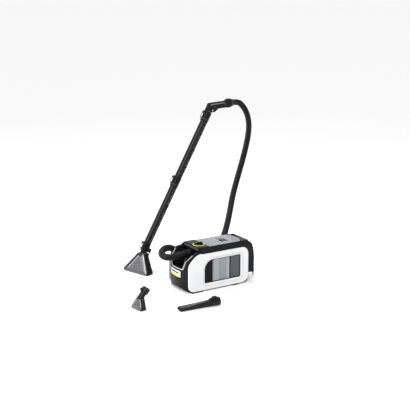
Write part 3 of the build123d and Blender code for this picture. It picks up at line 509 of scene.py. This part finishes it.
def carried_frames(points):
    """At each point: the point, and two directions across the line that don't twist."""
    tangent = (points[1] - points[0]).normalized()
    across = tangent.cross(UP).normalized()
    frames = []
    for i, point in enumerate(points):
        ahead = points[min(i + 1, len(points) - 1)] - points[max(i - 1, 0)]
        tangent = ahead.normalized()
        across = (across - tangent * across.dot(tangent)).normalized()
        frames.append((point, across, tangent.cross(across)))
    return frames


HOSE_PITCH = 0.0042                 # from rib to rib
HOSE_RIB = 0.0013                   # height of a rib
PLAIN_RINGS = 24                    # rings of each end without ribs
HOSE_SIDES = 28


def make_hose():
    """The suction hose: a corrugated tube along the route, plain at both ends."""
    crest = HOSE_D / 2
    root = crest - HOSE_RIB
    profile = [root, crest, crest, root]
    line = smooth_line("hose_line", HOSE_ROUTE)
    points = evenly(line, HOSE_PITCH / len(profile))

    def build(shape):
        rings = []
        frames = carried_frames(points)
        for i, (point, first, second) in enumerate(frames):
            radius = profile[i % len(profile)]
            if i < PLAIN_RINGS or i > len(frames) - PLAIN_RINGS:
                radius = crest
            ring = []
            for k in range(HOSE_SIDES):
                angle = 2 * math.pi * k / HOSE_SIDES
                ring.append(point + (first * math.cos(angle) + second * math.sin(angle)) * radius)
            rings.append(ring)
        skin(shape, rings)

    hose = add_object("suction_hose", mesh_from("suction_hose", build), "hose_black", "root", "hose")
    return hose


make_hose()


# ---------------------------------------------------------------- badge
FRONT_ARC_X = 0.052                 # middle of the arc that the front and its badge follow
LEAST_HALF_HEIGHT = 0.0004
STRIP_EDGE = 0.0002                 # how far a strip's outer face stands back at its edge


def arc_strip(name, radius, y_span, z_span, depth, corner, steps=36):
    """A thin plate with rounded corners, bent round the front's arc."""
    y_low, y_high = y_span
    z_low, z_high = z_span

    def front_x(y, grow):
        return FRONT_ARC_X - math.sqrt((radius + grow) ** 2 - y * y)

    def half_height(y):
        inset = min(y - y_low, y_high - y)
        full = (z_high - z_low) / 2
        if inset >= corner:
            return full
        return full - corner + math.sqrt(max(0.0, corner ** 2 - (corner - inset) ** 2))

    def build(shape):
        z_mid = (z_low + z_high) / 2
        rings = []
        for i in range(steps + 1):
            y = y_low + (y_high - y_low) * (0.5 - 0.5 * math.cos(math.pi * i / steps))
            half = max(half_height(y), LEAST_HALF_HEIGHT)
            corners = [(0.0, -half), (depth, -half + STRIP_EDGE), (depth, half - STRIP_EDGE), (0.0, half)]
            rings.append([on_machine(front_x(y, grow), y, z_mid + z) for grow, z in corners])
        skin(shape, rings)

    mesh = mesh_from(name, build)
    for face in mesh.polygons:
        face.use_smooth = False
    return mesh


def make_badge_strips():
    """The yellow band across the lower half of the plain badge, and a plain black bar above it."""
    band = arc_strip("badge_band", 0.2645, (-0.029, 0.062), (0.0815, 0.0955), 0.0004, 0.003)
    add_object("badge_band", band, "yellow_plastic", "root")
    dark = arc_strip("badge_bar", 0.2651, (-0.024, 0.056), (0.0990, 0.1070), 0.0005, 0.002)
    add_object("badge_bar", dark, "black_gloss", "root")


# ---------------------------------------------------------------- power knob and its ring
KNOB_GAP = 0.0008                   # between the dial and its ring
FLUTES = 32
FLUTE_DEPTH = 0.0007
FLUTED_ROWS = (1, 2, 3)             # rows of the dial's profile that the flutes cut
GRIP_SQUARENESS = 0.35              # power that squares off the grip bar's outline


def middle_of(node):
    """A node's middle seen from above, its half width along X, and its lowest and highest heights."""
    low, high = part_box(node)
    centre = Vector(((low.x + high.x) / 2, (low.y + high.y) / 2, 0.0))
    return centre, (high.x - low.x) / 2, low.z, high.z


def fluted(name, profile, centre, sides=192):
    """A dial turned about a vertical axis, with flutes cut in some rows of its profile."""
    def build(shape):
        rings = []
        for row, (radius, height) in enumerate(profile):
            ring = []
            for k in range(sides):
                angle = 2 * math.pi * k / sides
                wave = 0.5 - 0.5 * math.cos(FLUTES * angle)
                reach = radius - FLUTE_DEPTH * wave if row in FLUTED_ROWS else radius
                ring.append(centre + round_point(angle, reach, height))
            rings.append(ring)
        skin(shape, rings)

    return mesh_from(name, build)


def squared(value):
    """A sine or cosine pushed towards plus or minus one."""
    return math.copysign(abs(value) ** GRIP_SQUARENESS, value)


def make_power_knob():
    """A fluted black dial with a raised grip bar and a pale pointer."""
    centre, edge, _, top = middle_of("power_knob")
    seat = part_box("knob_ring")[0].z + KNOB_GAP
    profile = [
        (edge - 0.0010, seat), (edge, seat + 0.0008), (edge, seat + 0.0056), (edge - 0.0006, seat + 0.0068),
        (edge - 0.0020, seat + 0.0073), (edge - 0.0040, seat + 0.0072), (0.0170, seat + 0.0062),
        (0.0002, seat + 0.0060),
    ]
    add_object("power_dial", fluted("power_dial", profile, centre), "black_gloss", "power_knob", "power_knob")

    def grip(shape):
        rows = []
        for height, half_long, half_wide in ((seat + 0.005, 0.0222, 0.0066), (top - 0.003, 0.0212, 0.0056),
                                             (top - 0.0008, 0.0203, 0.0047), (top, 0.0190, 0.0036)):
            ring = []
            for k in range(48):
                angle = 2 * math.pi * k / 48
                along = squared(math.cos(angle)) * half_long
                aside = squared(math.sin(angle)) * half_wide
                ring.append(centre + Vector((along, aside, height)))
            rows.append(ring)
        skin(shape, rows)

    add_object("power_grip", mesh_from("power_grip", grip), "black_gloss", "power_knob")
    pointer = bmesh.new()
    pointer_at = Matrix.Translation(centre + Vector((-0.014, 0.0, top + 0.0001)))
    place = pointer_at @ Matrix.Diagonal((0.009, 0.0014, 0.0004, 1))
    bmesh.ops.create_cube(pointer, size=1.0, matrix=place)
    bmesh.ops.bevel(pointer, geom=pointer.edges, offset=0.00012, segments=2, affect="EDGES")
    mesh = bpy.data.meshes.new("power_pointer")
    pointer.to_mesh(mesh)
    pointer.free()
    add_object("power_pointer", mesh, "badge_white", "power_knob")


def make_knob_ring():
    """The yellow ring round the knob, with rounded upper edges."""
    centre, edge, low, high = middle_of("knob_ring")
    inner = edge - 0.0045
    sides = 128
    profile = [
        (inner, low), (inner, high - 0.0010), (inner + 0.0008, high - 0.0002), (inner + 0.0018, high),
        (edge - 0.0018, high), (edge - 0.0007, high - 0.0003), (edge, high - 0.0012), (edge, low),
    ]

    def build(shape):
        rows = []
        for radius, height in profile:
            ring = [centre + round_point(2 * math.pi * k / sides, radius, height) for k in range(sides)]
            rows.append([shape.verts.new(point) for point in ring])
        for first, second in zip(rows, rows[1:] + rows[:1]):
            for k in range(sides):
                j = (k + 1) % sides
                shape.faces.new((first[k], first[j], second[j], second[k]))

    add_object("yellow_ring", mesh_from("yellow_ring", build), "yellow_plastic", "root", "knob_ring")


# ---------------------------------------------------------------- details of the machine
BOTH_SIDES = (("near", -1), ("far", 1))
SHADE_STRIP_Y = 0.1046                   # half the distance between the two windows' dark shade strips
TANK_Y = 0.1025                     # half the distance between the tanks' side faces
SEAM_X = 0.080                      # where the recovery tank meets the fresh tank
LID_TOP = 0.2450
DISH_HALF = 0.0425                  # half the width of the lid's grip dish
DOOR_LOW, DOOR_HIGH = 0.078, 0.226
PULL_Y = -0.0905                    # the latch pull's place across the door
REAR = Vector((1.0, 0.0, 0.0))


def window_shade_strips():
    """A dark strip inside the edge of each side window, painted as the shade of the window's recess."""
    body = BODY_OF["side_panel_near"]
    for name, side in BOTH_SIDES:
        outward = Vector((0.0, side, 0.0))
        loop = rounded_loop([(-0.092, 0.045), (0.147, 0.045), (0.147, 0.1765), (-0.092, 0.1765)],
                            [0.009, 0.009, 0.009, 0.056], 10)
        points = [on_machine(u, side * SHADE_STRIP_Y, v) for u, v in loop]
        # Painted shade: the dark strip stands for the shadow where the pane sits back in its recess.
        ridge(f"{name}_window_shade", points, outward, 0.0052, 0.0007, "soft_rubber", body, True)


def paint_bevel_shade():
    """Grey lines painted as shade where the wide sloping edge of each side window starts and ends."""
    for name, side in BOTH_SIDES:
        body = BODY_OF["side_panel_" + name]
        outward = Vector((0.0, side, 0.0))
        for k, (grow, level, width) in enumerate(((0.013, 0.1155, 0.0018), (0.0006, 0.1086, 0.0014))):
            left, right, low, high = -0.093 - grow, 0.148 + grow, 0.044 - grow, 0.1775 + grow
            corners = [(left, low), (right, low), (right, high), (left, high)]
            radii = [0.009 + grow] * 3 + [0.057 + grow]
            loop = rounded_loop(corners, radii, 12)
            points = [on_machine(u, side * level, v) for u, v in loop]
            # Painted shade: grey lines where the window's sloping edge starts and ends.
            ridge(f"{name}_window_shade_line_{k}", points, outward, width, 0.0004, "bevel_shade_grey", body, True)


def tank_marks():
    """A dark seam between the tanks, pale bands and level ticks on the one, upright ribs on the other."""
    body = BODY_OF["waste_tank"]
    for name, side in BOTH_SIDES:
        face = side * TANK_Y
        outward = Vector((0.0, side, 0.0))
        seam = [on_machine(SEAM_X, face, height) for height in (0.018, 0.211)]
        ridge(f"{name}_tank_seam", seam, outward, 0.0056, 0.0006, "soft_rubber", body)
        for k, (low, high) in enumerate(((-0.029, 0.003), (0.056, 0.0755))):
            place = Matrix.Translation(on_machine((low + high) / 2, face, 0.113))
            bar(f"{name}_tank_band_{k}", place, (high - low, 0.0010, 0.176), 0.0004, "tank_pale", body)
        for k in range(6):
            place = Matrix.Translation(on_machine(0.066, face + side * 0.0006, 0.055 + 0.020 * k))
            bar(f"{name}_level_{k}", place, (0.009, 0.0008, 0.0012), 0.0002, "grey_mark_and_shade", body)
        for k in range(3):
            line = [on_machine(0.100 + 0.028 * k, face, height) for height in (0.024, 0.200)]
            ridge(f"{name}_fresh_rib_{k}", line, outward, 0.0022, 0.0005, "tank_fresh", body)


def lid_details():
    """A painted highlight rim round the grip dish, a painted highlight line along the lid's edge, the dish's
    floor in painted shade and a dark pad painted as the shade in its hole.
    """
    body = BODY_OF["tank_lid"]
    corners = [(0.0605, -DISH_HALF), (0.1295, -DISH_HALF), (0.1295, DISH_HALF), (0.0605, DISH_HALF)]
    # Pale lines painted as the highlights on the dish's rim and the lid's edge.
    rim = [on_machine(u, v, LID_TOP) for u, v in rounded_loop(corners, [0.009] * 4)]
    ridge("dish_rim_highlight", rim, UP, 0.0036, 0.0009, "lid_rim_highlight", body, True)
    edge_corners = [(-0.036, -0.0725), (0.168, -0.0725), (0.186, -0.030), (0.186, 0.030), (0.168, 0.0725),
                    (-0.036, 0.0725)]
    edge_radii = [0.006, 0.02, 0.03, 0.03, 0.02, 0.006]
    edge = [on_machine(u, v, LID_TOP) for u, v in rounded_loop(edge_corners, edge_radii)]
    ridge("lid_edge_highlight", edge, UP, 0.0022, 0.0005, "lid_rim_highlight", body, True)
    # The dish's floor is dark grey as painted shade of the recess.
    bar("dish_floor_shade", Matrix.Translation(on_machine(0.0785, 0.0, 0.2314)), (0.0160, 0.066, 0.0008), 0.0003,
        "grey_mark_and_shade", body)
    # The dark pad is painted shade inside the dish's hole.
    bar("dish_hole_shade", Matrix.Translation(on_machine(0.1010, -0.006, 0.2368)), (0.0380, 0.054, 0.0116), 0.0030,
        "hole_shade", body)


def rear_details():
    """Edges and grip ribs on the battery door, the rear cover's seams, and the latch's pull and tab."""
    body = BODY_OF["battery_door"]
    rows = 24

    def door_point(y, rise):
        """A point on the door's bulging outside; the rise goes from 0 at its foot to 1 at its top."""
        z = DOOR_LOW + (DOOR_HIGH - DOOR_LOW) * rise
        x = 0.239 + 0.0047 * math.sin(math.pi * min(1.0, rise * 1.12)) - 0.0095 * rise ** 4
        return on_machine(x, y, z)

    for name, side in BOTH_SIDES:
        line = [door_point(side * 0.0965, k / rows) for k in range(rows + 1)]
        ridge(f"door_edge_{name}", line, REAR, 0.0030, 0.0011, "black_gloss", body)
    for k in range(5):
        height = 0.090 + 0.009 * k
        rise = (height - DOOR_LOW) / (DOOR_HIGH - DOOR_LOW)
        line = [door_point(0.015 * step, rise) for step in range(-2, 3)]
        ridge(f"door_rib_{k}", line, REAR, 0.0030, 0.0012, "soft_rubber", body)
    seam = [(0.197, 0.2385), (0.206, 0.2350), (0.2140, 0.2270), (0.2195, 0.2130), (0.2230, 0.1900),
            (0.2250, 0.1600), (0.2248, 0.1250), (0.2230, 0.0900), (0.2200, 0.0600)]
    for name, side in BOTH_SIDES:
        points = [on_machine(x, side * 0.1050, z) for x, z in seam]
        ridge(f"rear_seam_{name}", points, Vector((0.0, side, 0.0)), 0.0022, 0.0008, "black_gloss",
              BODY_OF["rear_cover"])
    body = BODY_OF["door_latch"]
    place = Matrix.Translation(on_machine(0.2480, PULL_Y, 0.0600))
    bar("latch_pull", place, (0.0060, 0.0130, 0.0220), 0.0018, "black_gloss", body)
    tab_line = ((0.2470, 0.0510), (0.2490, 0.0440), (0.2485, 0.0340), (0.2460, 0.0300))
    tab = [on_machine(x, PULL_Y, z) for x, z in tab_line]
    ridge("latch_pull_tab", tab, REAR, 0.0080, 0.0022, "soft_rubber", body)


# ---------------------------------------------------------------- details of the wand
FRONT_LOW = (-0.015, 0.0)           # both nozzles' fronts: forward and up, at the floor
FRONT_LIP = (-0.009, 0.016)         # and where the front's slope changes
WAND_NECK_TOP = 0.112
PANE_RIDGE_HEIGHT = 0.0011
# Places along the wand's tube, from its lower end.
COLLAR_FEET = (("middle", 0.376), ("top", 0.843))
LINE_CLIPS = (0.120, 0.245, 0.520, 0.640, 0.760)
COLLAR_R = 0.0225
COLLAR_BAND_STEP = 0.0035
SPRAY_LINE_OUT = 0.0225             # from the tube's axis to where the clips sit
GRIP_FACE = 0.0160                  # half the thickness of the handle, where its details lie
CUFF_BANDS_FROM = 0.8610            # along the wand


def funnel_front(place, low, lip, neck):
    """Reads points on a nozzle's sloping front: side across, height up."""
    def at(side, height):
        if height < lip[1]:
            start, stop = low, lip
        else:
            start, stop = lip, neck
        mix = (height - start[1]) / (stop[1] - start[1])
        return place @ Vector((start[0] + (stop[0] - start[0]) * mix, height, side))

    slope = Vector((lip[1] - neck[1], neck[0] - lip[0], 0.0)).normalized()
    return at, (place.to_3x3() @ slope).normalized()


def pane_ridges(name, front, outward, lines, body):
    """Raised ridges that converge up a nozzle's clear front."""
    steps = 8
    for k, (low_side, low_height, high_side, high_height, width, finish) in enumerate(lines):
        points = []
        for i in range(steps + 1):
            mix = i / steps
            side = low_side + (high_side - low_side) * mix
            height = low_height + (high_height - low_height) * mix
            points.append(front(side, height))
        ridge(f"{name}_ridge_{k}", points, outward, width, PANE_RIDGE_HEIGHT, finish, body)


def nozzle_details():
    """Ridges on both clear fronts, dark borders on the floor nozzle's front, and two pale bands round the
    floor nozzle's neck.
    """
    # each line: side and height of its foot, side and height of its head, width, finish
    front, outward = funnel_front(IN_WAND, FRONT_LOW, FRONT_LIP, (0.039, WAND_NECK_TOP))
    pane_ridges("floor_nozzle", front, outward, [
        # The first ridge is lighter grey as a painted highlight on the near side.
        (0.0870, 0.006, 0.0205, 0.104, 0.0066, "ridge_highlight_grey"),
        (-0.0890, 0.006, -0.0190, 0.107, 0.0150, "black_plastic"),
        (-0.0765, 0.010, -0.0100, 0.098, 0.0040, "pane_ridge"),
        (-0.0220, 0.1010, 0.0120, 0.1040, 0.0150, "black_plastic"),
        (0.066, 0.018, 0.0115, 0.100, 0.0024, "pane_ridge"),
        (-0.062, 0.018, -0.0115, 0.098, 0.0024, "pane_ridge"),
        (0.012, 0.019, 0.003, 0.092, 0.0022, "window_grey"),
        (-0.024, 0.019, -0.005, 0.092, 0.0022, "window_grey"),
    ], BODY_OF["nozzle_window"])
    corners = [(0.039, -0.023), (0.071, -0.023), (0.071, 0.023), (0.039, 0.023)]
    for k, drop in enumerate((0.0025, 0.0085)):
        loop = [IN_WAND @ Vector((u - drop * 0.35, WAND_NECK_TOP - drop, v * (1 + drop * 9)))
                for u, v in rounded_loop(corners, [0.002] * 4, 3)]
        sides = [loop[4 * i + 3:4 * i + 5] for i in range(3)] + [[loop[15], loop[0]]]
        looks = ((0.0, 0.2, -1.0), (1.0, 0.2, 0.0), (0.0, 0.2, 1.0), (-1.0, 0.2, 0.0))
        for i, (points, look) in enumerate(zip(sides, looks)):
            away = (IN_WAND.to_3x3() @ Vector(look)).normalized()
            ridge(f"neck_band_{k}_{i}", points, away, 0.0036, 0.0012, "pale_grey_and_highlight", BODY_OF["nozzle_body"])

    front, outward = funnel_front(IN_UPHOLSTERY, FRONT_LOW, FRONT_LIP, (0.004, 0.060))
    pane_ridges("upholstery", front, outward, [
        # The first ridge is lighter grey as a painted highlight on the near side.
        (0.0350, 0.017, 0.0150, 0.054, 0.0034, "ridge_highlight_grey"),
        (-0.0350, 0.017, -0.0150, 0.054, 0.0030, "pane_ridge"),
        (0.0120, 0.018, 0.0050, 0.050, 0.0018, "window_grey"),
        (-0.0120, 0.018, -0.0050, 0.050, 0.0018, "window_grey"),
    ], BODY_OF["upholstery_window"])


def collar_details():
    """Grip bands round the upper two collars, and clips that hold the spray line to the tube."""
    for name, low in COLLAR_FEET:
        for k in range(3):
            start = low + COLLAR_BAND_STEP * (k + 1)
            band_round(f"{name}_collar_band_{k}", TUBE, COLLAR_R, start, start + 0.0016, 0.0006, "dark_trim",
                       BODY_OF[name + "_collar"])
    for k, along in enumerate(LINE_CLIPS):
        place = TUBE @ Matrix.Translation((-SPRAY_LINE_OUT, 0.0, along))
        bar(f"line_clip_{k}", place, (0.0118, 0.0150, 0.010), 0.0018, "black_plastic", BODY_OF["lower_tube"])


def handle_details():
    """The handle's top seam, a painted highlight strip along each face, screws and grip ribs, and the bands
    on the hose cuff.
    """
    body = BODY_OF["handle_shell_left"]
    for name, side in (("near", 1), ("far", -1)):
        away = MOUTH_DIR * side
        face = side * GRIP_FACE
        # A pale strip painted as the highlight along the upper edge of each face of the handle.
        highlight_line = ((0.664, 0.9365), (0.700, 0.9375), (0.760, 0.9375), (0.806, 0.9370))
        highlight_strip = [on_wand(along, height, face) for along, height in highlight_line]
        ridge(f"{name}_inlay", highlight_strip, away, 0.0050, 0.0007, "pale_grey_and_highlight", body)
        for k in range(9):
            along = 0.724 + 0.009 * k
            rib = [on_wand(along, 0.9115, face - side * 0.0005),
                   on_wand(along + 0.002, 0.9205, face - side * 0.0001)]
            ridge(f"{name}_grip_rib_{k}", rib, away, 0.0032, 0.0010, "soft_rubber", body)
        for k, (along, height) in enumerate(((0.7020, 0.9210), (0.8130, 0.9280), (0.6480, 0.9000))):
            screw_head(f"{name}_screw_{k}", on_wand(along, height, face), away, 0.0026, body)
    back = [on_wand(0.690 + 0.014 * k, 0.9470, 0.0) for k in range(9)]
    ridge("handle_top_seam", back, UP, 0.0016, 0.0005, "dark_trim", body)
    cuff = IN_WAND @ Matrix.Translation((0.0, HANDLE_Z, 0.0)) @ Matrix.Rotation(math.pi / 2, 4, "Y")
    for k in range(3):
        start = CUFF_BANDS_FROM + 0.0042 * k
        band_round(f"cuff_band_{k}", cuff, 0.0289 - 0.0003 * k, start, start + 0.0018, 0.0005, "dark_trim",
                   BODY_OF["hose_cuff"])


# ---------------------------------------------------------------- details of the small tools
def tool_details():
    """Bands, ribs and ridges on the crevice tool, two of them painted highlight lines, and bands on the
    upholstery tool's cuff.
    """
    body = BODY_OF["crevice_tool"]
    sideways = IN_CREVICE @ Matrix.Translation((0.0, 0.0, 0.022)) @ Matrix.Rotation(math.pi / 2, 4, "Y")
    for k, start in enumerate((0.003, 0.007, 0.046, 0.050)):
        band_round(f"crevice_band_{k}", sideways, 0.0212, start, start + 0.0018, 0.0005, "dark_trim", body)
    for k in range(4):
        along = 0.021 + 0.006 * k
        rib = [IN_CREVICE @ Vector((along, side, 0.051)) for side in (-0.0055, 0.0055)]
        ridge(f"crevice_button_rib_{k}", rib, UP, 0.0024, 0.0007, "soft_rubber", body)
    # The two narrow side lines are painted highlights along the snout's top edges; the wide middle strip is
    # plain mid grey.
    for name, side in (("left", -1), ("right", 1), ("middle", 0)):
        width = 0.0020 if side else 0.0110
        finish = "pale_grey_and_highlight" if side else "grey_mark_and_shade"
        ends = ((0.100, side * 0.0085, 0.0292), (0.222, side * 0.0170, 0.0170))
        line = [IN_CREVICE @ Vector(end) for end in ends]
        ridge(f"crevice_line_{name}", line, UP, width, 0.0007, finish, body)

    body = BODY_OF["upholstery_body"]
    lean = (Vector((1.0, 1.0, 0.0))).normalized()
    place = IN_UPHOLSTERY @ facing(Vector((0.060, 0.102, 0.0)), lean)
    for k, back in enumerate((0.004, 0.009, 0.024)):
        band_round(f"upholstery_band_{k}", place, 0.0220, -back - 0.0018, -back, 0.0005, "dark_trim", body)


make_badge_strips()
make_power_knob()
make_knob_ring()
window_shade_strips()
paint_bevel_shade()
tank_marks()
lid_details()
rear_details()
nozzle_details()
collar_details()
handle_details()
tool_details()
for node, radius in EDGE_RADIUS.items():
    refine(node, radius)


# ---------------------------------------------------------------- studio
FLOOR_HALF = 400.0
LIGHTS_LOOK_AT = on_machine(0.0, 0.1, 0.3)


def studio():
    """A pale floor, a white world, a soft sun and four light boxes."""
    mesh = bpy.data.meshes.new("floor")
    corners = [(FLOOR_HALF * x, FLOOR_HALF * y, 0) for x, y in ((-1, -1), (1, -1), (1, 1), (-1, 1))]
    mesh.from_pydata(corners, [], [(0, 1, 2, 3)])
    floor = bpy.data.objects.new("floor", mesh)
    bpy.context.scene.collection.objects.link(floor)
    material, _, _, shader = new_material("floor")
    shader.inputs["Base Color"].default_value = (0.97, 0.97, 0.97, 1.0)
    shader.inputs["Roughness"].default_value = 0.9
    floor.data.materials.append(material)

    world = bpy.data.worlds.new("studio")
    world.use_nodes = True
    background = world.node_tree.nodes["Background"]
    background.inputs["Color"].default_value = (1.0, 1.0, 1.0, 1.0)
    background.inputs["Strength"].default_value = 0.62
    bpy.context.scene.world = world

    sun = bpy.data.lights.new("window_light", "SUN")
    sun.energy = 1.5
    sun.angle = math.radians(28)
    lights = [(bpy.data.objects.new("window_light", sun), (-1.6, -2.9, 4.4))]
    for name, place, width, height, power in (
        ("left_box", (-2.4, -0.9, 1.5), 0.5, 2.4, 10.0),
        ("right_box", (2.2, -2.4, 1.2), 0.5, 2.0, 9.0),
        ("rim_box", (-2.9, 2.6, 1.3), 0.9, 2.8, 120.0),
        ("top_box", (0.3, 1.2, 2.8), 2.0, 0.7, 26.0),
    ):
        data = bpy.data.lights.new(name, "AREA")
        data.shape = "RECTANGLE"
        data.size = width
        data.size_y = height
        data.energy = power
        lights.append((bpy.data.objects.new(name, data), place))
    for light, place in lights:
        bpy.context.scene.collection.objects.link(light)
        light.location = on_machine(*place)
        light.rotation_mode = "QUATERNION"
        light.rotation_quaternion = (LIGHTS_LOOK_AT - light.location).to_track_quat("-Z", "Y")


studio()
